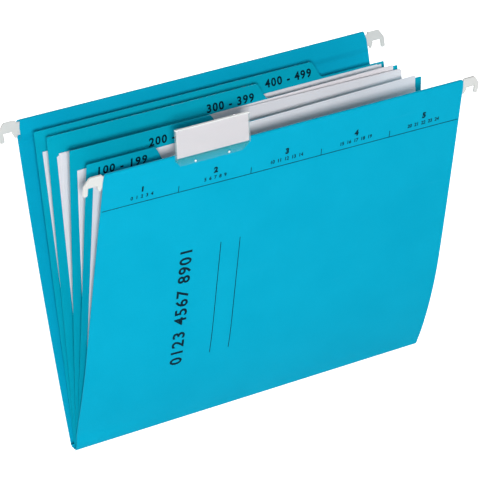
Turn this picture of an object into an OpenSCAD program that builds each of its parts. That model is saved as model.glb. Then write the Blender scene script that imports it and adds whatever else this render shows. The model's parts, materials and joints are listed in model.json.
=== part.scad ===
// Hanging personnel file: two card covers on steel rails with plastic hooks,
// four index leaves on one bottom fold, a sliding index rider and loose sheets.
// Units are millimetres. X runs along the file, Y from front to rear, Z is up.
// The origin is the middle of the four hook seats.

/* [Covers] */
// Width of both card covers
cover_width = 313; // [250:1:380]
// Length of a cover from the bottom fold to its top edge
cover_length = 249.8; // [200:0.1:320]
// Thickness of the cover card
cover_card = 0.45; // [0.3:0.05:0.6]
// Lean of each cover from upright, along its chord
cover_lean = 14; // [12:0.5:20]
// Radius of the outward bow of the covers
bow_radius = 2600; // [1800:50:6000]
// Radius of the lower front cover, which bellies out from the contents
belly_radius = 400; // [300:10:700]
// Radius of the outer face at the bottom fold
fold_radius = 4.2; // [4:0.1:6]

/* [Hem and rail] */
// Height of the hem folded inward at the top of a cover
hem_height = 18; // [16:0.5:24]
// Width of the slot inside the hem
hem_slot = 1.9; // [1.8:0.1:3]
// Thickness of the steel rail
rail_thick = 0.8; // [0.6:0.05:0.9]
// Height of the steel rail
rail_height = 8; // [6:0.25:8.5]
// Distance of each rail end from the edge of its cover
rail_inset = 4.5; // [2:0.5:10]

/* [Hooks] */
// Distance from the edge of a cover to the middle of the hook notch
notch_reach = 7.8; // [7:0.1:11]
// Width of the outer finger
finger_width = 3.5; // [2.5:0.1:5]
// Width of the hook notch
notch_width = 7.6; // [6:0.1:8]
// Height of the hook arm above the notch
arm_height = 8.2; // [7:0.1:9.4]
// Thickness of the hook plate
hook_thick = 1.7; // [1.5:0.05:1.75]
// Reach of the outer finger below the top of the arm
finger_drop = 14.9; // [12:0.1:18]
// Reach of the pointed inner finger below the top of the arm
tip_drop = 13.4; // [12:0.1:15]
// Width of the slanted outer shoulder of the arm
slant_width = 4; // [1:0.1:5]
// Height of the slanted outer shoulder of the arm
slant_drop = 6.6; // [3:0.1:8]
// Length of the hook shank inside the hem
shank_length = 26; // [22:1:40]

/* [Index leaves] */
// Distance of the leaf edges from the edges of the covers
leaf_inset = 2; // [1:0.5:6]
// Length of an index leaf from the fold axis to the top of its tab
leaf_length = 242.4; // [200:0.1:250]
// Thickness of the index leaf card
leaf_card = 0.35; // [0.25:0.05:0.45]
// Step down from the tab to the rest of the top edge
tab_step = 13.6; // [8:0.1:30]
// Width of one index position
tab_pitch = 62; // [50:0.2:72]
// Lean of leaf 4, towards the rear
leaf_4_lean = 8.9; // [8:0.1:9.4]
// Lean of leaf 3, towards the rear
leaf_3_lean = 4.6; // [4:0.1:5]
// Lean of leaf 2, towards the rear
leaf_2_lean = -2.9; // [-3.4:0.1:-2.4]
// Lean of leaf 1, towards the rear
leaf_1_lean = -8.3; // [-8.8:0.1:-7.8]

/* [Rider] */
// Width of the label holder
holder_width = 62; // [40:0.2:70]
// Middle of the label holder along the front cover
holder_place = -66.7; // [-120:0.1:120]
// Width of the label card
label_width = 60.6; // [38:0.2:68]
// Height of the label card
label_height = 20.8; // [14:0.2:28]
// Lean of the label back from the hem
label_lean = 13.5; // [6:0.5:18]
// Wall of the clear plastic
holder_wall = 0.7; // [0.5:0.05:0.9]
// Reach of the clip below the top of the hem
clip_reach = 9; // [6:0.25:11]
// Cut corners of the clip
clip_corner = 5; // [1:0.25:7]
// Distance between the two studs of the clip
stud_pitch = 28.4; // [14:0.2:40]

/* [Sheets] */
// Width of the sheets, A4 on its side
sheet_width = 297; // [210:1:305]
// Height of the sheets, A4 on its side
sheet_height = 210; // [148:1:216]
// Thickness of each set of sheets
sheet_set = 0.5; // [0.2:0.05:0.55]
// Height of the sheets on leaf 4 above the fold axis
sheets_4_stand = 17; // [8:0.2:24]
// Height of the rear sheets on leaf 3 above the fold axis
sheets_3_stand = 17.8; // [8:0.2:24]
// Height of the front sheets on leaf 3 above the fold axis
sheets_tilted_stand = 18.4; // [8:0.2:24]
// Height of the sheets on leaf 2 above the fold axis
sheets_2_stand = 19; // [8:0.2:24]
// Height of the sheets on leaf 1 above the fold axis
sheets_1_stand = 16.5; // [8:0.2:24]

/* [Hidden] */
$fn = 96;
// Half the angle of the bowed cover
bow_half = cover_length / bow_radius * 90 / PI;
// Centre of the bow in the plane of the profile
bow_centre = [-(bow_radius - fold_radius) * cos(bow_half), (bow_radius - fold_radius) * sin(bow_half)];
// Angle at which the hem starts
hem_angle = (cover_length - hem_height) / bow_radius * 180 / PI - bow_half;
// Start of the hem on the outer face and the distance of its line from the fold axis
hem_start = bow_centre + bow_radius * [cos(hem_angle), sin(hem_angle)];
hem_reach = hem_start[0] * cos(hem_angle) + hem_start[1] * sin(hem_angle);
// Angle at which the belly of the front cover leaves the fold, and its centre
belly_foot = acos((belly_radius - hem_reach) / (belly_radius - fold_radius)) - hem_angle;
belly_centre = (fold_radius - belly_radius) * [cos(belly_foot), -sin(belly_foot)];
// Length of the flat front cover between its belly and the hem
front_flat = (hem_start - belly_centre) * [-sin(hem_angle), cos(hem_angle)];
// Outer radius of the fold at the top of the hem
hem_fold = hem_slot / 2 + cover_card;
// Height of the straight sides of the hem
hem_side = hem_height - hem_fold;
// Foot of the upright hem flap and of its slanted glue zone
flap_foot = 6.4;
glue_top = flap_foot - (2 * hem_fold - 2 * cover_card);
// Middle of the slot, as a depth from the outer face
slot_mid = -hem_fold;
// Top of the hook arm and the notch ceiling in the hem
arm_rise = 0.3;
arm_top = hem_height + arm_rise;
notch_top = arm_top - arm_height;
// Span of the shank in the slot
shank_low = 6.9;
shank_high = hem_side - 0.15;
// Middle height of the rail in the slot
rail_mid = (shank_low + shank_high) / 2;
// Edge beside which the inner finger hangs
finger_gap = 0.3;
finger_edge = cover_width / 2 + finger_gap;
notch_middle = cover_width / 2 + notch_reach;
notch_in = notch_middle - notch_width / 2;
notch_out = notch_middle + notch_width / 2;
hook_end = notch_out + finger_width;
// Rail and leaves take their lengths from the covers
rail_length = cover_width - 2 * rail_inset;
leaf_width = cover_width - 2 * leaf_inset;
// Seat of a hook in the frame of its cover and then below the leaned cover
seat_v = bow_centre[0] + (bow_radius + slot_mid) * cos(hem_angle) - notch_top * sin(hem_angle);
seat_u = bow_centre[1] + (bow_radius + slot_mid) * sin(hem_angle) + notch_top * cos(hem_angle);
seat_height = seat_u * cos(cover_lean) - seat_v * sin(cover_lean);
// Inner faces of the leaves, as distances from the fold axis
inner_offset = 0.6;
outer_offset = 1.95;
// Outer radius of the doubled foot of the inner leaves, and how far feet turn
foot_radius = 1.6;
foot_start = 8;
foot_turn = 38;
// Bottom strips, as radii about the fold axis
binding_in = 2.6;
binding_out = 2.92;
gusset_in = 2.97;
gusset_out = 3.4;
// Turns at which the strips start behind and end in front
gusset_turn = [12, 128];
binding_turn = [20, 118];
binding_inset = 6.5;
gusset_inset = 0.5;
// Turn of the front cover's foot round the gusset
front_toe = 35;
// How far the creased foot is pressed thinner on each face, and how far it runs into the belly
crease_press = 0.03;
crease_lap = 4;
// Curved shoulder beside a tab, how far it stands back, and the cut corners of a leaf
shoulder = 10.6;
tab_trim = 1.4;
tab_corner = 0.6;
leaf_corner = 0.6;
// Free gap between a set of sheets and its leaf
sheet_gap = 0.15;
// Forward lean of the front sheets on leaf 3 against that leaf
sheet_tilt = 1.3;
// Free gap round the hem inside the rider
clip_gap = 0.2;
clip_wall = 0.9;
// Slot for the label card
label_slot = 0.75;
label_play = 0.4;

// Pushes a profile in the Y-Z plane along X about the middle
module across(width) {
  rotate([90, 0, 90]) translate([0, 0, -width / 2]) linear_extrude(width) children();
}

// Gives an outline in the X-Z plane a thickness from depth a to depth b along Y
module slab(a, b) {
  translate([0, b, 0]) rotate([90, 0, 0]) linear_extrude(b - a) children();
}

// Leans a piece about the bottom fold, which lies below the origin
module leaned(angle) {
  translate([0, 0, -seat_height]) rotate([-angle, 0, 0]) children();
}

// Turns the rear side into the front side
module on_front() {
  translate([0, 0, -seat_height]) mirror([0, 1, 0]) rotate([-cover_lean, 0, 0]) children();
}

// Ring sector about the fold axis between two polar angles
module ring_sector(r_in, r_out, from, to) {
  reach = 3 * r_out;
  middle = (from + to) / 2;
  intersection() {
    difference() {
      circle(r = r_out);
      circle(r = r_in);
    }
    polygon([[0, 0], reach * [cos(from), sin(from)], reach * [cos(middle), sin(middle)],
      reach * [cos(to), sin(to)]]);
  }
}

// Frame of the hem: Y points outward, Z up along the cover
module at_hem() {
  translate([0, bow_centre[0], bow_centre[1]]) rotate([hem_angle, 0, 0])
    translate([0, bow_radius, 0]) children();
}

// Hem as one fold of card round a slot, glued to the cover below it
module hem_profile() {
  difference() {
    union() {
      polygon([[0, 0], [0, hem_side], [-2 * hem_fold, hem_side], [-2 * hem_fold, flap_foot],
        [-2 * cover_card, glue_top], [-2 * cover_card, 0]]);
      translate([-hem_fold, hem_side]) circle(r = hem_fold);
    }
    polygon([[-cover_card, glue_top - 0.2], [-cover_card, hem_side],
      [cover_card - 2 * hem_fold, hem_side], [cover_card - 2 * hem_fold, flap_foot + 0.2]]);
    translate([-hem_fold, hem_side]) circle(r = hem_slot / 2);
  }
}

// Card bent to a radius about a centre, from one polar angle to another
module bent_card(centre, radius, from, to) {
  far = 1.02 * radius;
  intersection() {
    translate(centre) difference() {
      circle(r = radius, $fn = 2880);
      circle(r = radius - cover_card, $fn = 2880);
    }
    polygon([centre, centre + far * [cos(from), sin(from)], centre + far * [cos(to), sin(to)]]);
  }
}

// Rear cover, bowed evenly from the fold to the hem
module rear_profile() {
  bent_card(bow_centre, bow_radius, -bow_half, hem_angle);
  translate(hem_start) rotate(hem_angle) hem_profile();
}

// Front cover, its foot curled round the fold, then the belly, the flat part and the hem
module front_profile() {
  ring_sector(fold_radius - cover_card + crease_press, fold_radius - crease_press,
    crease_lap - belly_foot, -belly_foot - front_toe);
  translate(hem_start) rotate(hem_angle) {
    bent_card([-belly_radius, -front_flat], belly_radius, -belly_foot - hem_angle, 0);
    translate([-cover_card, -front_flat]) square([cover_card, front_flat]);
    hem_profile();
  }
}

module rail() {
  at_hem() translate([-rail_length / 2, slot_mid - rail_thick / 2, rail_mid - rail_height / 2])
    cube([rail_length, rail_thick, rail_height]);
}

// Right-hand hook seen from the front: shank, arm, two fingers and the notch
module hook_outline() {
  outer = hook_end;
  finger_low = arm_top - finger_drop;
  finger_cut = finger_width / 5;
  tip_low = arm_top - tip_drop;
  polygon([[finger_edge - shank_length, shank_low], [finger_edge, shank_low],
    [finger_edge, tip_low + 1.6], [finger_edge + 1, tip_low], [finger_edge + 2, tip_low + 0.2],
    [notch_in, notch_top - 1.6], [notch_in, notch_top], [notch_out, notch_top],
    [notch_out, finger_low + finger_cut], [notch_out + finger_cut, finger_low],
    [outer - finger_cut, finger_low], [outer, finger_low + finger_cut],
    [outer, arm_top - slant_drop], [outer - slant_width, arm_top - 0.7],
    [outer - slant_width - 1.6, arm_top], [finger_edge + 0.8, arm_top],
    [finger_edge, arm_top - 0.8], [finger_edge, shank_high],
    [finger_edge - shank_length, shank_high]]);
}

module hook() {
  at_hem() difference() {
    slab(slot_mid - hook_thick / 2, slot_mid + hook_thick / 2) hook_outline();
    translate([0, slot_mid - rail_thick / 2 - 0.05, rail_mid - rail_height / 2 - 0.05])
      cube([rail_length / 2 + 0.3, rail_thick + 0.1, rail_height + 0.1]);
  }
}

// Index leaf: full height up to the right end of its tab, then stepped down
module leaf_outline(place) {
  left = -leaf_width / 2;
  right = leaf_width / 2;
  middle = left + place * tab_pitch - tab_trim;
  low = leaf_length - tab_step;
  curve = [for (k = [12:-1:0])
    [middle + shoulder * (k / 12 - 0.5), leaf_length - tab_step * pow(sin(7.5 * k), 2)]];
  polygon(concat([[left, 0], [right, 0], [right, low - leaf_corner], [right - leaf_corner, low]],
    curve, [[left + tab_corner, leaf_length], [left, leaf_length - tab_corner]]));
}

module leaf(place, offset, foot) {
  slab(offset, offset + leaf_card) leaf_outline(place);
  across(leaf_width) ring_sector(offset, offset + leaf_card, 0, -foot_turn);
  across(leaf_width) ring_sector(offset, foot, -foot_start, -foot_turn);
}

// Clip round the hem with a sleeve for the label leaning back over it
module holder_profile() {
  inside = hem_fold + clip_gap;
  difference() {
    union() {
      translate([-hem_fold, hem_side]) intersection() {
        difference() {
          circle(r = inside + clip_wall);
          circle(r = inside);
        }
        translate([-2 * inside, 0]) square([4 * inside, 2 * inside]);
      }
      translate([clip_gap, hem_height - clip_reach]) square([clip_wall, clip_reach - hem_fold]);
      translate([-2 * hem_fold - clip_gap - clip_wall, hem_height - clip_reach + 1])
        square([clip_wall, clip_reach - 1 - hem_fold]);
      label_frame() translate([-label_slot / 2 - holder_wall, -holder_wall])
        square([label_slot + 2 * holder_wall, label_height + label_play + 2 * holder_wall]);
    }
    label_frame() square_middle(label_slot, 0, label_height + label_play);
  }
}

// Frame of the label sleeve, bottom middle of the card slot
module label_frame() {
  translate([clip_gap + clip_wall + 0.6, hem_height - 1.3]) rotate(label_lean) children();
}

// Rectangle about the middle line from one height to another
module square_middle(width, low, high) {
  translate([-width / 2, low]) square([width, high - low]);
}

// Outline of the rider seen from the front, with cut lower and upper corners
module holder_outline() {
  half = holder_width / 2;
  low = hem_height - clip_reach;
  high = hem_height + label_height + 4;
  polygon([[-half + clip_corner, low], [half - clip_corner, low], [half, low + clip_corner],
    [half, high], [-half, high], [-half, low + clip_corner]]);
}

// Small dome that grips the hem
module stud(x) {
  face = clip_gap + clip_wall;
  intersection() {
    translate([x, face - 0.6, hem_height - clip_reach + 2]) sphere(r = 1.3);
    translate([x - 2, face - 0.3, hem_height - clip_reach]) cube([4, 2, 4]);
  }
}

// Face of the sheets that lie on the outer side of a leaf
function sheets_on(offset) = offset + leaf_card + sheet_gap;

module sheets(v_from, v_to, low) {
  translate([-sheet_width / 2, v_from, low]) cube([sheet_width, v_to - v_from, sheet_height]);
}

module rear_panel() color([0.05, 0.62, 0.76]) leaned(cover_lean)
  across(cover_width) rear_profile();

module rear_rail() color([0.7, 0.71, 0.73]) leaned(cover_lean) rail();

module rear_hook_left() color([0.9, 0.9, 0.88]) leaned(cover_lean) mirror([1, 0, 0]) hook();

module rear_hook_right() color([0.9, 0.9, 0.88]) leaned(cover_lean) hook();

module base_gusset() color([0.04, 0.56, 0.7]) leaned(0)
  across(cover_width - 2 * gusset_inset)
    ring_sector(gusset_in, gusset_out, -gusset_turn[0], -gusset_turn[1]);

module divider_binding() color([0.75, 0.74, 0.7]) leaned(0)
  across(cover_width - 2 * binding_inset)
    ring_sector(binding_in, binding_out, -binding_turn[0], -binding_turn[1]);

module divider_4() color([0.06, 0.66, 0.8]) leaned(leaf_4_lean)
  leaf(4, outer_offset, outer_offset + leaf_card);

module divider_3() color([0.06, 0.66, 0.8]) leaned(leaf_3_lean) leaf(3, inner_offset, foot_radius);

module divider_2() color([0.06, 0.66, 0.8]) leaned(leaf_2_lean) mirror([0, 1, 0])
  leaf(2, inner_offset, foot_radius);

module divider_1() color([0.06, 0.66, 0.8]) leaned(leaf_1_lean) mirror([0, 1, 0])
  leaf(1, outer_offset, outer_offset + leaf_card);

module front_panel() color([0.05, 0.62, 0.76]) on_front()
  across(cover_width) front_profile();

module front_rail() color([0.7, 0.71, 0.73]) on_front() rail();

module front_hook_left() color([0.9, 0.9, 0.88]) on_front() mirror([1, 0, 0]) hook();

module front_hook_right() color([0.9, 0.9, 0.88]) on_front() hook();

module label_holder() color([0.85, 0.88, 0.9, 0.5]) on_front() at_hem() translate([holder_place, 0, 0]) {
  intersection() {
    across(holder_width) holder_profile();
    slab(-3 * label_height, label_height) holder_outline();
  }
  stud(-stud_pitch / 2);
  stud(stud_pitch / 2);
}

module label_card() color([0.95, 0.95, 0.95]) on_front() at_hem() translate([holder_place, 0, 0])
  across(label_width) label_frame() square_middle(0.35, label_play / 2, label_play / 2 + label_height);

module documents_4() color([0.95, 0.95, 0.96]) leaned(leaf_4_lean)
  sheets(outer_offset - sheet_gap - sheet_set, outer_offset - sheet_gap, sheets_4_stand);

module documents_3_rear() color([0.95, 0.95, 0.96]) leaned(leaf_3_lean)
  sheets(inner_offset - sheet_gap - sheet_set, inner_offset - sheet_gap, sheets_3_stand);

module documents_3_front() color([0.93, 0.93, 0.95]) leaned(leaf_3_lean)
  translate([0, inner_offset - 2 * sheet_gap - sheet_set, sheets_tilted_stand]) rotate([sheet_tilt, 0, 0])
    sheets(-sheet_set, 0, 0);

module documents_2() color([0.95, 0.95, 0.96]) leaned(leaf_2_lean)
  mirror([0, 1, 0]) sheets(sheets_on(inner_offset), sheets_on(inner_offset) + sheet_set, sheets_2_stand);

module documents_1() color([0.95, 0.95, 0.96]) leaned(leaf_1_lean)
  mirror([0, 1, 0]) sheets(sheets_on(outer_offset), sheets_on(outer_offset) + sheet_set, sheets_1_stand);

rear_panel();
rear_rail();
rear_hook_left();
rear_hook_right();
base_gusset();
divider_binding();
divider_4();
divider_3();
divider_2();
divider_1();
front_panel();
front_rail();
front_hook_left();
front_hook_right();
label_holder();
label_card();
documents_4();
documents_3_rear();
documents_3_front();
documents_2();
documents_1();
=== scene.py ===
import json
import math

import bpy
import numpy as np
from mathutils import Matrix, Vector


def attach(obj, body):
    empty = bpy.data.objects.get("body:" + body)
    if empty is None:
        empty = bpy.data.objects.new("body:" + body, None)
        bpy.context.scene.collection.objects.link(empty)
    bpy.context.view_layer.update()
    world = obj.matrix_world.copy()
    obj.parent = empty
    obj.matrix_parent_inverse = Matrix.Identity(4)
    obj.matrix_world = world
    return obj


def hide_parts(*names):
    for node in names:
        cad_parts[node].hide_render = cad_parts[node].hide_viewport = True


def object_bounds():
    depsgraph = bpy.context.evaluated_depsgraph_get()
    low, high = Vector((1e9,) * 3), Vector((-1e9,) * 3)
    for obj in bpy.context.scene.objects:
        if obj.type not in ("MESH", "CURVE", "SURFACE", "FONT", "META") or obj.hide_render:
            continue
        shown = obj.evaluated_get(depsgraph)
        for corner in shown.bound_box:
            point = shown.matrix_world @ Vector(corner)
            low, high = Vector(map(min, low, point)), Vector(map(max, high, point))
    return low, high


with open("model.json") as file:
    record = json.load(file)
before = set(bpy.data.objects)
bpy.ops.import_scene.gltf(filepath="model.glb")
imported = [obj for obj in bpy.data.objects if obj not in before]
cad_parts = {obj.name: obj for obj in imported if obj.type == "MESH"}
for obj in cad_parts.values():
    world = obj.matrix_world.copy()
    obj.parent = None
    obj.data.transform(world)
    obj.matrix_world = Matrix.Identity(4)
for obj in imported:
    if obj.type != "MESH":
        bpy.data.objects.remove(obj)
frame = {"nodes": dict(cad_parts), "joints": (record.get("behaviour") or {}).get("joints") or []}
cad_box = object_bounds()

# Covers
# Each cover is one sheet of dyed card, die-cut, with a hem folded inward and glued along its
# top edge. The front one curls round the bottom strip, the rear one is glued to it.
FOLD_Z = frame["joints"][0]["pos_m"][2]
# Thickness of the card, half the width and the length of a cover, and its lean
CARD = 0.00045
HALF = 0.1565
LONG = 0.2498
LEAN = math.radians(14)
# Radii of the long bow, of the belly of the lower front and of the fold's outer face
BOW = 2.6
BELLY = 0.4
FOLD = 0.0042
# How far each foot turns round the fold, and how the rear one thins out on the strip
TOE = math.radians(35)
REAR_TOE = math.radians(36)
TUCK_TURN = math.radians(7)
TUCK = 0.00058
FOOT_EDGE = 0.00015
# Hem: its height, the radius of its fold, where the flap starts to slope, how far in it is glued
# down, two thicknesses and a hair, and the slant of its ends
HEM = 0.018
HEM_FOLD = 0.0014
FLAP_FOOT = 0.0064
FLAP_LAID = 2.02 * CARD
FLAP_SLANT = 0.62
# Steps along the front's path round its foot, up the belly and up the flat, along the rear's round
# its foot and up the bow, and points along X
CURL_STEPS = 12
BELLY_STEPS = 40
FLAT_STEPS = 40
REAR_CURL_STEPS = 36
BOW_STEPS = 60
ACROSS_POINTS = 81
# The front cover's unevenness: pushed out, drawn in at the left, more so low down, and wavy
SWAY_OUT = 0.0034
SWAY_IN = 0.0022
SWAY_LOW = 0.0034
SWAY_WAVE = 0.00012
SWAY_START = 0.012
# Height of the trimmed corners, and the rise of the rear top towards the right
TRIM_ZONE = 0.0075
REAR_RISE = 0.0014
CARD_BLUE = (0.0, 0.395, 0.60, 1)


class Shade:
    """One value in a material: arithmetic on it adds Math nodes, make() adds any other node."""

    def __init__(self, tree, out):
        self.tree = tree
        self.out = out

    def make(self, kind, settings=(), ins=(), take=0):
        """Adds a node, sets its settings first, then fills its sockets with values or links."""
        node = self.tree.nodes.new(kind)
        for name, value in dict(settings).items():
            setattr(node, name, value)
        for key, value in dict(ins).items():
            if isinstance(value, Shade):
                self.tree.links.new(value.out, node.inputs[key])
            else:
                node.inputs[key].default_value = value
        return Shade(self.tree, node.outputs[take])

    def math(self, operation, a, b=0.0):
        """One Math node on two values."""
        return self.make("ShaderNodeMath", {"operation": operation}, {0: a, 1: b})

    def __add__(self, other):
        return self.math("ADD", self, other)

    __radd__ = __add__

    def __mul__(self, other):
        return self.math("MULTIPLY", self, other)

    __rmul__ = __mul__

    def __sub__(self, other):
        return self.math("SUBTRACT", self, other)

    def __rsub__(self, other):
        return self.math("SUBTRACT", other, self)

    def mix(self, a, b):
        """Colour a where this value is 0 and colour b where it is 1."""
        return self.make("ShaderNodeMix", {"data_type": "RGBA"}, {0: self, 6: a, 7: b}, 2)

    def noise(self, scale, detail=3.0, rough=0.5):
        """Noise between 0 and 1 on this vector."""
        return self.make("ShaderNodeTexNoise", {}, {"Vector": self, "Scale": scale,
                                                    "Detail": detail, "Roughness": rough}, 0)

    def stretched(self, x, y, z):
        """This vector scaled along each axis."""
        return self.make("ShaderNodeMapping", {}, {"Vector": self, "Scale": (x, y, z)})

    def part(self, axis):
        """One coordinate of this vector: 0, 1 or 2."""
        return self.make("ShaderNodeSeparateXYZ", {}, {0: self}, axis)

    def step(self, low, high):
        """0 below low, 1 above high, smooth between."""
        return self.make("ShaderNodeMapRange", {"interpolation_type": "SMOOTHSTEP"},
                         {0: self, 1: low, 2: high})


def new_finish(name):
    """A material with its Principled node and its Object coordinates."""
    mat = bpy.data.materials.new(name)
    mat.use_nodes = True
    tree = mat.node_tree
    shader = tree.nodes["Principled BSDF"]
    place = Shade(tree, tree.nodes.new("ShaderNodeTexCoord").outputs["Object"])
    return mat, shader, place


def feed(shader, socket, value):
    """Links a Shade into a socket of the shader, or sets a plain value on it."""
    if isinstance(value, Shade):
        value.tree.links.new(value.out, shader.inputs[socket])
    else:
        shader.inputs[socket].default_value = value


def card_finish(name, colour, rough, edge):
    """Dyed card: short fibres, a faint cloudiness, long rub marks and paler cut edges."""
    mat, shader, place = new_finish(name)
    fibre = place.stretched(1, 1, 0.45).noise(2600, 2, 0.6)
    cloud = place.noise(30, 3, 0.5)
    rub = place.stretched(0.2, 1, 2.4).noise(110, 5, 0.6).step(0.62, 0.84)
    pale = (colour[0] + 0.002, colour[1] * 1.05, colour[2] * 1.04, 1)
    deep = (colour[0], colour[1] * 0.95, colour[2] * 0.96, 1)
    base = (0.35 * cloud + 0.65 * fibre).step(0.3, 0.7).mix(deep, pale)
    base = (rub * 0.12).mix(base, (colour[0] + 0.03, colour[1] * 1.12, colour[2] * 1.1, 1))
    if edge:
        worn = place.make("ShaderNodeAttribute", {"attribute_name": "edge"}, {}, 2)
        base = (worn * (0.3 + 0.4 * cloud)).mix(base, (0.05, 0.42, 0.6, 1))
    feed(shader, "Base Color", base)
    feed(shader, "Roughness", rough + 0.14 * (fibre - 0.5) - 0.08 * rub)
    feed(shader, "Normal", place.make("ShaderNodeBump", {}, {"Strength": 0.1, "Distance": 0.0002,
                                                            "Height": 0.7 * fibre + 0.3 * cloud}))
    feed(shader, "Specular IOR Level", 0.03)
    return mat


def lean_about_fold(v, u, angle):
    """Turns a point v outward and u up about the bottom fold by an angle towards the rear."""
    return (v * math.cos(angle) + u * math.sin(angle),
            FOLD_Z - v * math.sin(angle) + u * math.cos(angle))


def cover_path(front):
    """Outer face of the folded sheet in its own plane, as a line with its outward normals, the
    card's thickness and how far the hem is folded in. The rear sheet's foot thins out as it is drawn
    in to the strip, and above it the sheet is one long bow of radius BOW. The front one curls,
    bellies out on an arc of radius BELLY that is tangent to the fold and to the hem, and runs on
    flat. Then the hem's upright, its half-round and the glued flap."""
    half = LONG / BOW / 2
    turn = (LONG - HEM) / BOW - half
    out = np.array([math.cos(turn), math.sin(turn)])
    up = np.array([-math.sin(turn), math.cos(turn)])
    centre = (BOW - FOLD) * np.array([-math.cos(half), math.sin(half)])
    start = centre + BOW * out
    if front:
        foot = math.acos((BELLY - start @ out) / (BELLY - FOLD)) - turn
        a = np.linspace(-foot - TOE, -foot, CURL_STEPS, endpoint=False)
        curl = FOLD * np.c_[np.cos(a), np.sin(a)]
        centre = (FOLD - BELLY) * np.array([math.cos(foot), -math.sin(foot)])
        a = np.linspace(-foot, turn, BELLY_STEPS, endpoint=False)
        bend = centre + BELLY * np.c_[np.cos(a), np.sin(a)]
        s = np.linspace((start - centre) @ up, 0, FLAT_STEPS, endpoint=False)
        body = np.concatenate([curl, bend, start - s[:, None] * up])
    else:
        a = np.linspace(-half - REAR_TOE, -half, REAR_CURL_STEPS, endpoint=False)
        tucked = np.clip((-half - a) / TUCK_TURN, 0, 1)
        tucked = tucked ** 2 * (3 - 2 * tucked)
        curl = (FOLD - TUCK * tucked)[:, None] * np.c_[np.cos(a), np.sin(a)]
        a = np.linspace(-half, turn, BOW_STEPS, endpoint=False)
        body = np.concatenate([curl, centre + BOW * np.c_[np.cos(a), np.sin(a)]])
    side = HEM - HEM_FOLD
    b = np.linspace(0, math.pi, 15)
    down = np.linspace(0, 1, 14)
    ease = down ** 2 * (3 - 2 * down)
    rise = np.c_[np.zeros(8), np.linspace(0, side, 8, endpoint=False)]
    top = np.c_[HEM_FOLD * (np.cos(b) - 1), side + HEM_FOLD * np.sin(b)]
    flap = np.c_[np.full(4, -2 * HEM_FOLD), np.linspace(side - 0.003, FLAP_FOOT + 0.001, 4)]
    glued = np.c_[-2 * HEM_FOLD + ease * (2 * HEM_FOLD - FLAP_LAID), FLAP_FOOT * (1 - down)]
    hem = np.concatenate([rise, top, flap, glued])
    line = np.concatenate([body, start + hem[:, :1] * out + hem[:, 1:] * up])
    way = np.gradient(line, axis=0)
    way /= np.linalg.norm(way, axis=1)[:, None]
    thick = np.full((len(line), 1), CARD)
    if not front:
        thick[:len(curl), 0] -= (CARD - FOOT_EDGE) * tucked
    folded_in = np.r_[np.zeros(len(body)), -hem[:, 0]][:, None]
    return line, np.c_[way[:, 1], -way[:, 0]], thick, folded_in


def sway(x, u):
    """How far the real front cover lies off its even profile: drawn in along the left end, most
    of all low down, pushed out a little from the middle to the right, nothing at fold and hem.
    The two shapes up the cover are scaled to about 1 at their peaks."""
    h = np.clip(u / (LONG - HEM), 0, 1)
    swell = np.sqrt(h) * (1 - h ** 3) / 0.67
    low = np.sqrt(h) * (1 - h) ** 2 / 0.286
    g = np.clip((x + HALF) / (0.9 * HALF), 0, 1)
    draw = 1 - np.clip((x + HALF) / (0.6 * HALF), 0, 1)
    wave = SWAY_WAVE * np.sin(23 * x + 9 * h) * np.sin(math.pi * h)
    held = np.clip(u / SWAY_START, 0, 1)
    drawn = (SWAY_OUT * g * g * (3 - 2 * g) - SWAY_IN) * swell - SWAY_LOW * draw * draw * low
    return held * held * (3 - 2 * held) * drawn + wave


def put_mesh(name, points, faces, edge=None):
    """A mesh object at the origin from points in metres, smooth, with an optional edge value."""
    mesh = bpy.data.meshes.new(name)
    mesh.from_pydata(points.tolist(), [], faces.tolist())
    if edge is not None:
        worn = mesh.attributes.new("edge", "FLOAT", "POINT")
        worn.data.foreach_set("value", edge.astype(np.float32))
    mesh.polygons.foreach_set("use_smooth", np.ones(len(faces), bool))
    mesh.update()
    piece = bpy.data.objects.new(name, mesh)
    bpy.context.scene.collection.objects.link(piece)
    return piece


def grid_faces(rows, columns, start=0):
    """Quads of a grid of rows by columns points that are stored row by row."""
    i = np.arange(rows * columns).reshape(rows, columns) + start
    return np.stack([i[:-1, :-1], i[1:, :-1], i[1:, 1:], i[:-1, 1:]], -1).reshape(-1, 4)


def slab_mesh(name, near, far, edge):
    """Closes two grids of points into one thin sheet: near and far face, then a wall along each
    of the four sides with its own points, so that no shading runs round the edge."""
    sides = [(near[0], far[0]), (far[-1], near[-1]), (far[:, 0], near[:, 0]), (near[:, -1], far[:, -1])]
    blocks = [near, far[:, ::-1]] + [np.stack(pair) for pair in sides]
    points = []
    faces = []
    worn = []
    start = 0
    for k, block in enumerate(blocks):
        points.append(block.reshape(-1, 3))
        faces.append(grid_faces(block.shape[0], block.shape[1], start))
        worn.append(np.full(block.shape[0] * block.shape[1], 1.0 if k > 1 else 0.0))
        start += block.shape[0] * block.shape[1]
    return put_mesh(name, np.concatenate(points), np.concatenate(faces),
                    np.concatenate(worn) if edge else None)


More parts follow.
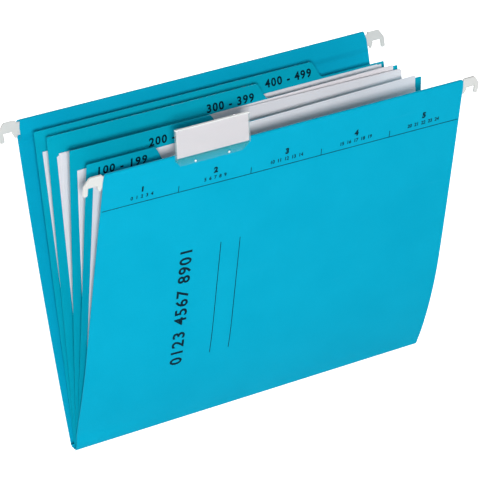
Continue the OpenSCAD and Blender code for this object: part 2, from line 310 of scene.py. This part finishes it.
def folded_cover(name, front, left, right):
    """The path carried along X, with the card's thickness on its inner side. The ends of the
    folded top are trimmed back by left and right over the last millimetres, those of the flap at
    a slant, and the rear top runs up a little towards the right, out of square."""
    line, normal, thick, folded_in = cover_path(front)
    trim = np.clip((line[:, 1:] - LONG + TRIM_ZONE) / TRIM_ZONE, 0, 1) ** 1.5
    cut = FLAP_SLANT * folded_in
    t = np.linspace(0, 1, ACROSS_POINTS)[None, :]
    x = (left * trim + cut - HALF) * (1 - t) + (HALF - right * trim - cut) * t
    uneven = sway(x, line[:, 1:]) if front else 0 * x
    lift = 0 * x if front else REAR_RISE * t ** 2 * np.clip(line[:, 1:] / LONG, 0, 1) ** 4
    skins = []
    for depth in (0, thick):
        flat = line - depth * normal
        y, z = lean_about_fold(flat[:, :1] + uneven, flat[:, 1:] + lift, LEAN)
        skins.append(np.stack([x, -y if front else y, z], -1))
    if not front:
        skins = [skin[:, ::-1] for skin in skins]
    return slab_mesh(name, skins[0], skins[1], True)


cover_card = card_finish("dyed_cover_card", CARD_BLUE, 0.62, True)
rear_cover = folded_cover("rear_cover", False, 0.0016, 0.0026)
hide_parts("rear_panel")
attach(rear_cover, "rear_side")
front_cover = folded_cover("front_cover", True, 0.0008, 0.0008)
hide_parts("front_panel")
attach(front_cover, "front_side")
for piece in (rear_cover, front_cover):
    piece.data.materials.append(cover_card)

# Bottom strip and binding
# The strip of cover card that closes the bottom, and the paper strip inside it that holds the
# feet of the index leaves. Both are glued and hardly show.
plain_card = card_finish("dyed_strip_card", CARD_BLUE, 0.64, False)
kraft, kraft_shader, kraft_place = new_finish("binding_paper")
feed(kraft_shader, "Base Color", kraft_place.noise(900, 4).mix(
    (0.5, 0.48, 0.43, 1), (0.68, 0.66, 0.6, 1)))
feed(kraft_shader, "Roughness", 0.8 - 0.1 * kraft_place.noise(1500, 2))


def dress(node, mat):
    """Gives a CAD node's object one material."""
    piece = frame["nodes"][node]
    piece.data.materials.clear()
    piece.data.materials.append(mat)
    return piece


dress("base_gusset", plain_card)
dress("divider_binding", kraft)

# Rails
# A bright rolled steel strip lies loose in each hem and carries the file's weight. Its ends are
# pushed into the sleeves of the hooks.
steel, steel_shader, steel_place = new_finish("rolled_steel")
rolled = steel_place.stretched(0.02, 1, 1).noise(1800, 4, 0.6)
feed(steel_shader, "Base Color", rolled.mix((0.48, 0.49, 0.5, 1), (0.66, 0.67, 0.69, 1)))
feed(steel_shader, "Roughness", 0.26 + 0.22 * rolled)
feed(steel_shader, "Metallic", 1.0)
for node in ("rear_rail", "front_rail"):
    dress(node, steel)

# Hooks
# White moulded plastic plates: the sleeve shank sits in the hem on the rail end, and the arm with
# its two fingers hangs on the drawer rail. The moulding leaves soft edges and a satin skin.
white, white_shader, white_place = new_finish("moulded_white")
flow = white_place.noise(160, 4, 0.5)
grit = white_place.noise(2200, 2, 0.5)
feed(white_shader, "Base Color", flow.mix((0.64, 0.65, 0.635, 1), (0.72, 0.73, 0.71, 1)))
feed(white_shader, "Roughness", 0.36 + 0.12 * grit)
feed(white_shader, "Normal", white_place.make("ShaderNodeBump", {}, {
    "Strength": 0.08, "Distance": 0.0002, "Height": grit}))
HOOK_EDGE = 0.00035


def soften(piece, width):
    """Welds the CAD node's loose triangles and rounds its sharp edges."""
    weld = piece.modifiers.new("weld", "WELD")
    weld.merge_threshold = 0.00001
    bevel = piece.modifiers.new("soft_edges", "BEVEL")
    bevel.width = width
    bevel.segments = 3
    bevel.limit_method = "ANGLE"
    bevel.angle_limit = math.radians(35)


for node in ("rear_hook_left", "rear_hook_right", "front_hook_left", "front_hook_right"):
    soften(dress(node, white), HOOK_EDGE)

# Index leaves
# Four leaves of dyed card, die-cut with a stepped tab and held by the binding strip at the bottom.
# Leaf 4 is the rear one. They fan out from the fold, each at its own lean towards the rear.
LEAF_LEAN = {4: math.radians(8.9), 3: math.radians(4.6), 2: math.radians(-2.9), 1: math.radians(-8.3)}
LEAF_BLUE = (0.0, 0.39, 0.54, 1)
leaf_card = card_finish("dyed_leaf_card", LEAF_BLUE, 0.6, False)
for leaf in LEAF_LEAN:
    dress(f"divider_{leaf}", leaf_card)

# Loose sheets
# White copy paper, A4 on its side, a few sheets in each set: they stand a little apart, shifted
# against each other, with corners that curl.
paper, paper_shader, paper_place = new_finish("copy_paper")
pulp = paper_place.noise(1900, 3, 0.6)
haze = paper_place.noise(25, 3, 0.5)
feed(paper_shader, "Base Color", (0.5 * pulp + 0.5 * haze).step(0.3, 0.7).mix(
    (0.80, 0.775, 0.81, 1), (0.87, 0.845, 0.88, 1)))
feed(paper_shader, "Roughness", 0.78 + 0.1 * pulp)
feed(paper_shader, "Normal", paper_place.make("ShaderNodeBump", {}, {
    "Strength": 0.05, "Distance": 0.0001, "Height": pulp}))
SHEET = (0.297, 0.210)
SHEET_THICK = 0.00011
SHEET_PITCH = 0.00014
SHEET_POINTS = (41, 31)
# Lean of the front set on leaf 3 against its leaf
SHEET_TILT = math.radians(1.3)


def sheet_set(name, angle, face, stand, dips, swings, shifts):
    """A set of sheets in front of a leaf that leans by angle. A sheet is a grid in its width and
    height, held at the bottom and turned in its own plane so that its ends rise by the two dips.
    It comes forward with the square of the height by its own curl, and with the height by two
    swings that grow towards the ends. Its upper corners turn a little more."""
    w, h = np.meshgrid(np.linspace(-0.5, 0.5, SHEET_POINTS[0]), np.linspace(0, 1, SHEET_POINTS[1]))
    rise = dips[0] * (0.5 - w) + dips[1] * (0.5 + w)
    slope = (dips[1] - dips[0]) / SHEET[0]
    forward = swings[0] * (0.5 - w) ** 3 + swings[1] * (0.5 + w) ** 3
    sheets = []
    for k, (dx, dz, curl, left, right) in enumerate(shifts):
        turn = (left * np.clip(-4 * w - 1, 0, 1) ** 2 + right * np.clip(4 * w - 1, 0, 1) ** 2) * h ** 3
        v = -face - k * SHEET_PITCH - curl * h ** 2 - forward * h - turn
        skins = []
        for skin in (SHEET_THICK, 0):
            y, z = lean_about_fold(v - skin, stand + dz + rise + h * SHEET[1], angle)
            skins.append(np.stack([w * SHEET[0] + dx - slope * h * SHEET[1], y, z], -1))
        sheets.append(slab_mesh(name, skins[0], skins[1], False))
    with bpy.context.temp_override(active_object=sheets[0], selected_editable_objects=sheets):
        bpy.ops.object.join()
    sheets[0].data.materials.append(paper)
    return sheets[0]


# A row holds a set's name, its lean, how far it stands in front of the fold line, the height of its
# lower edge, its two dips and two swings, its node and its body. Then, for each sheet, the shift
# along X and Z, the curl, and the turn of the left and right upper corner.
sets = [
    ("sheets_on_leaf_4", LEAF_LEAN[4], -0.00180, 0.0170, (-0.0006, 0.0006), (0, 0),
     "documents_4", "sheets_4",
     [(0.0004, 0.0, 0.0001, 0, 0),
      (0.0036, -0.0004, 0.0003, 0, 0.0003),
      (-0.0006, 0.0001, 0.0005, 0, 0)]),
    ("rear_sheets_on_leaf_3", LEAF_LEAN[3], -0.00045, 0.0178, (-0.0012, 0.0022), (0, 0),
     "documents_3_rear", "sheets_3_rear",
     [(0.0040, 0.0, 0.0001, 0, 0),
      (0.0030, -0.0005, 0.0002, 0, 0.0003)]),
    ("front_sheets_on_leaf_3", LEAF_LEAN[3] - SHEET_TILT, 0.0000, 0.0184, (0.0002, 0.0), (-0.0044, 0.0029),
     "documents_3_front", "sheets_3_front",
     [(0.0022, 0.0, 0.0001, 0, 0),
      (0.0014, 0.0004, 0.0002, 0.0006, 0),
      (0.0030, -0.0003, 0.0004, 0.0008, 0)]),
    ("sheets_on_leaf_2", LEAF_LEAN[2], 0.00110, 0.0190, (-0.0030, 0.0023), (0.0006, 0),
     "documents_2", "sheets_2",
     [(0.0032, 0.0, 0.0001, 0, 0),
      (0.0036, -0.0006, 0.0001, 0, 0),
      (0.0040, -0.0100, 0.0002, 0, 0)]),
    ("sheets_on_leaf_1", LEAF_LEAN[1], 0.00245, 0.0165, (0.0, 0.0), (0, 0),
     "documents_1", "sheets_1",
     [(-0.0001, 0.0, 0.0001, 0, 0),
      (0.0005, 0.0003, 0.0003, 0.0004, 0),
      (-0.0006, -0.0004, 0.0006, 0.0004, 0)]),
]
for name, angle, face, stand, dips, swings, node, body, shifts in sets:
    piece = sheet_set(name, angle, face, stand, dips, swings, shifts)
    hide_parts(node)
    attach(piece, body)

# Index rider
# A clear extruded clip astride the front hem with a sleeve for a plain white label card, and two
# small domes that grip the card.

# Where the painted highlights on its upper rim and cut ends begin, where its flange ends and grows deeper
# in colour, and where a painted glint sits on each dome
RIM_ZONE = (0.0267, 0.0271)
LEFT_END = (-0.0975, -0.0972)
RIGHT_END = (-0.0362, -0.0359)
FLANGE_TOP = (0.0052, 0.0058)
FLANGE_DEPTH = (-0.002, 0.004)
DOMES = ((-0.0809, -0.0646, 0.0004), (-0.0525, -0.0646, 0.0004))
DOME_GLINT_EDGE = (0.0005, 0.0012)
RIDER_EDGE = 0.00012
clear, clear_shader, clear_place = new_finish("clear_plastic")
along = clear_place.part(0)
height = clear_place.part(2)
rim_highlight = height.step(*RIM_ZONE)
end_highlights = (1 - along.step(*LEFT_END)) + along.step(*RIGHT_END)
flange = (1 - height.step(*FLANGE_TOP)) * (0.45 + 0.55 * height.step(*FLANGE_DEPTH))
# Painted highlights: a light line along the upper rim and on the cut ends, and a small glint on each dome.
painted_highlights = 0.75 * rim_highlight + 0.24 * end_highlights * (1 - flange)
for dome in DOMES:
    far = clear_place.make("ShaderNodeVectorMath", {"operation": "DISTANCE"}, {0: clear_place, 1: dome}, 1)
    painted_highlights = painted_highlights + 0.8 * (1 - far.step(*DOME_GLINT_EDGE))
tint = flange.mix((0.34, 0.55, 0.56, 1), (0.07, 0.38, 0.25, 1))
# Where the painted highlights lie, the plastic is painted near white and made more opaque.
feed(clear_shader, "Base Color", painted_highlights.step(0, 0.6).mix(tint, (0.93, 0.94, 0.94, 1)))
feed(clear_shader, "Roughness", 0.05 + 0.08 * clear_place.noise(300, 3))
drawn = clear_place.stretched(0.2, 1, 1).noise(220, 2)
feed(clear_shader, "Alpha", 0.03 + 0.04 * drawn + 0.13 * flange + painted_highlights)
feed(clear_shader, "Specular IOR Level", 0.6)
soften(dress("label_holder", clear), RIDER_EDGE)

label, label_shader, label_place = new_finish("label_card_white")
grain = label_place.noise(1700, 3)
feed(label_shader, "Base Color", grain.mix((0.665, 0.62, 0.65, 1), (0.715, 0.67, 0.70, 1)))
feed(label_shader, "Roughness", 0.66 + 0.12 * grain)
dress("label_card", label)

# Print
# One dark ink printed on the card: a thin rule with index places on the front, two upright writing
# lines, and plain numbers. The ink lies a few hundredths of a millimetre proud.
ink, ink_shader, ink_place = new_finish("print_ink")
feed(ink_shader, "Base Color", ink_place.noise(2500, 2).mix(
    (0.0, 0.012, 0.024, 1), (0.001, 0.022, 0.038, 1)))
feed(ink_shader, "Roughness", 0.5 + 0.15 * ink_place.noise(1200, 2))
feed(ink_shader, "Specular IOR Level", 0.05)
INK_LIFT = 0.00006
above_foot = slice(CURL_STEPS, CURL_STEPS + BELLY_STEPS + FLAT_STEPS + 1)
front_line, front_normal = [rows[above_foot] for rows in cover_path(True)[:2]]
front_length = np.r_[0, np.cumsum(np.linalg.norm(np.diff(front_line, axis=0), axis=1))]


def on_front_face(x, u):
    """Points on the outer face of the front cover: x along it, u up along the sheet from the
    fold, read off the cover's own path and set proud by the ink."""
    v, up = [np.interp(u, front_length, front_line[:, k] + INK_LIFT * front_normal[:, k]) for k in (0, 1)]
    y, z = lean_about_fold(v + sway(x, up), up, LEAN)
    return np.stack([x, -y, z], -1)


LINE_WIDTH = 0.0006
LINE_POINTS = 61


def strip(x0, u0, x1, u1):
    """A printed line as a flat ribbon between two places on the front, cut into short steps."""
    t = np.linspace(0, 1, LINE_POINTS)
    along = np.array([x1 - x0, u1 - u0])
    across = np.array([-along[1], along[0]]) / np.linalg.norm(along) * LINE_WIDTH / 2
    rows = [np.c_[x0 + t * along[0] + s * across[0], u0 + t * along[1] + s * across[1]] for s in (-1, 1)]
    return np.concatenate(rows), grid_faces(2, LINE_POINTS)


def numbers(text, size, x, u, turn=0.0, bold=0.0, wide=1.0):
    """Outline of plain numbers as flat faces: typed, filled, made a mesh, then turned and put
    with its middle at x and u."""
    curve = bpy.data.curves.new("numbers", "FONT")
    curve.body = text
    curve.size = size
    curve.offset = bold
    curve.resolution_u = 3
    curve.space_character = wide
    curve.align_x = "CENTER"
    curve.align_y = "CENTER"
    typed = bpy.data.objects.new("numbers", curve)
    bpy.context.scene.collection.objects.link(typed)
    bpy.context.view_layer.update()
    mesh = bpy.data.meshes.new_from_object(typed)
    flat = np.empty(len(mesh.vertices) * 3, np.float32)
    mesh.vertices.foreach_get("co", flat)
    flat = flat.reshape(-1, 3)[:, :2].astype(float)
    mesh.calc_loop_triangles()
    corners = np.empty(len(mesh.loop_triangles) * 3, np.int32)
    mesh.loop_triangles.foreach_get("vertices", corners)
    bpy.data.objects.remove(typed)
    bpy.data.meshes.remove(mesh)
    c, s = math.cos(turn), math.sin(turn)
    placed = np.c_[x + c * flat[:, 0] - s * flat[:, 1], u + s * flat[:, 0] + c * flat[:, 1]]
    return placed, corners.reshape(-1, 3)


def printed(name, marks, face, body):
    """All marks of one leaf as one mesh, laid on that leaf's face."""
    points = []
    faces = []
    start = 0
    for flat, corners in marks:
        points.append(face(flat[:, 0], flat[:, 1]))
        faces += (corners + start).tolist()
        start += len(flat)
    mesh = bpy.data.meshes.new(name)
    mesh.from_pydata(np.concatenate(points).tolist(), [], faces)
    mesh.materials.append(ink)
    piece = bpy.data.objects.new(name, mesh)
    bpy.context.scene.collection.objects.link(piece)
    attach(piece, body)


def rule(x):
    """Height of the printed rule at x, a little out of square with the fold."""
    return 0.2184 - 0.008 * x


RULE_END = 0.1555
PLACES = 5
PLACE_PITCH = 0.0614
FIRST_PLACE = -0.1229
TICK = 0.0055
WRITING_LINES = (-0.0512, -0.0347)
WRITING_ENDS = (0.0640, 0.1648)
marks = [strip(-RULE_END, rule(-RULE_END), RULE_END, rule(RULE_END))]
for place in range(PLACES):
    middle = FIRST_PLACE + PLACE_PITCH * place
    small = "  ".join(str(PLACES * place + k) for k in range(PLACES))
    marks.append(numbers(str(place + 1), 0.0062, middle, rule(middle) + 0.0112, 0, 0.0004))
    marks.append(numbers(small, 0.0040, middle, rule(middle) + 0.0050, 0, 0.00014))
    if place < PLACES - 1:
        tick = middle + PLACE_PITCH / 2
        marks.append(strip(tick, rule(tick), tick, rule(tick) + TICK))
marks.append(numbers("0123 4567 8901", 0.0140, -0.0798, 0.1140, math.pi / 2, 0.0003, 1.16))
for x in WRITING_LINES:
    marks.append(strip(x, WRITING_ENDS[0], x, WRITING_ENDS[1]))
printed("front_print", marks, on_front_face, "front_side")


def on_leaf(angle, v):
    """Points on the front face of a leaf that leans by angle, v out from the fold axis."""
    def face(x, u):
        y, z = lean_about_fold(np.full_like(x, v - INK_LIFT), u, angle)
        return np.stack([x, y, z], -1)
    return face


# The tabs step to the right from leaf 1 to leaf 4. A row holds the leaf, its front face's distance
# from the fold line, and how far its numbers are shifted along and down.
TAB_START = -0.1545
TAB_PITCH = 0.062
TAB_MIDDLE = 0.0245
TAB_TOP = 0.2424
tabs = [(4, 0.00195, -0.0028, 0.0084),
        (3, 0.0006, -0.0052, 0.0100),
        (2, -0.00095, -0.0125, 0.0100),
        (1, -0.0023, -0.0082, 0.0080)]
for leaf, v, shift, low in tabs:
    middle = shift + TAB_START + TAB_PITCH * leaf - TAB_MIDDLE
    marks = [numbers(f"{leaf}00 - {leaf}99", 0.0090, middle, TAB_TOP - low, 0, 0.00028, 1.2)]
    printed(f"divider_{leaf}_print", marks, on_leaf(LEAF_LEAN[leaf], v), f"leaf_{leaf}")

# Stage
# A plain pale floor under the hanging file, far enough down for the front cover to open out flat,
# studio light from the front left with weaker soft boxes on the other sides, and the camera at the
# photograph's angle.
FLOOR_ROOM = 0.095
bpy.ops.mesh.primitive_plane_add(size=6, location=(0, 0, cad_box[0][2] - FLOOR_ROOM))
floor = bpy.context.object
floor.name = "floor"
pale, pale_shader, pale_place = new_finish("pale_floor")
feed(pale_shader, "Base Color", (0.93, 0.93, 0.93, 1))
feed(pale_shader, "Roughness", 0.9)
feed(pale_shader, "Specular IOR Level", 0.0)


def seen_directly(shade):
    """1 for rays from the camera, in a mirror or through glass, 0 for those that carry light."""
    rays = [shade.make("ShaderNodeLightPath", {}, {}, kind) for kind in (
        "Is Camera Ray", "Is Glossy Ray", "Is Transmission Ray")]
    return shade.math("MAXIMUM", shade.math("MAXIMUM", rays[0], rays[1]), rays[2])


seen = seen_directly(pale_place)
glow = pale_place.make("ShaderNodeEmission", {}, {"Color": (1, 1, 1, 1), "Strength": 0.76 * seen})
both = pale_place.make("ShaderNodeAddShader", {}, {
    0: Shade(pale.node_tree, pale_shader.outputs[0]), 1: glow})
pale.node_tree.links.new(both.out, pale.node_tree.nodes["Material Output"].inputs[0])
floor.data.materials.append(pale)

world = bpy.data.worlds.new("studio")
bpy.context.scene.world = world
world.use_nodes = True
back = world.node_tree.nodes["Background"]
feed(back, "Color", (1, 1, 1, 1))
feed(back, "Strength", 0.24 + 0.76 * seen_directly(Shade(world.node_tree, None)))


def lamp(name, place, aim, size, power):
    """A square soft box at a place, turned to an aim point."""
    light = bpy.data.lights.new(name, "AREA")
    light.size = size
    light.energy = power
    holder = bpy.data.objects.new(name, light)
    holder.location = place
    holder.rotation_euler = (Vector(aim) - Vector(place)).to_track_quat("-Z", "Y").to_euler()
    bpy.context.scene.collection.objects.link(holder)


lamp("soft_box_front", (-1.10, -1.88, 0.69), (0, 0, -0.08), 0.22, 37)
lamp("soft_box_right", (1.75, -1.15, 0.75), (0, 0, -0.08), 0.8, 5)
lamp("soft_box_rear", (1.10, 1.75, 0.15), (0, 0, -0.10), 0.4, 22)
lamp("soft_box_left", (-2.0, 0.9, 0.15), (0, 0, -0.10), 0.4, 7)

AZIMUTH = math.radians(-32.112)
ELEVATION = math.radians(24.205)
ROLL = math.radians(-1.468)
DISTANCE = 2.2652
LENS = 225.0
aim = Vector((-0.0047, 0.0003, -0.1052))
level_part = math.cos(ELEVATION)
behind = Vector((math.sin(AZIMUTH) * level_part, -math.cos(AZIMUTH) * level_part, math.sin(ELEVATION)))
look = bpy.data.cameras.new("camera")
look.lens = LENS
look.sensor_width = 36.0
camera = bpy.data.objects.new("camera", look)
level = (-behind).to_track_quat("-Z", "Y").to_matrix().to_4x4()
camera.matrix_world = Matrix.Translation(aim + behind * DISTANCE) @ level @ Matrix.Rotation(ROLL, 4, "Z")
bpy.context.scene.collection.objects.link(camera)
bpy.context.scene.camera = camera
bpy.context.scene.view_settings.view_transform = "Standard"
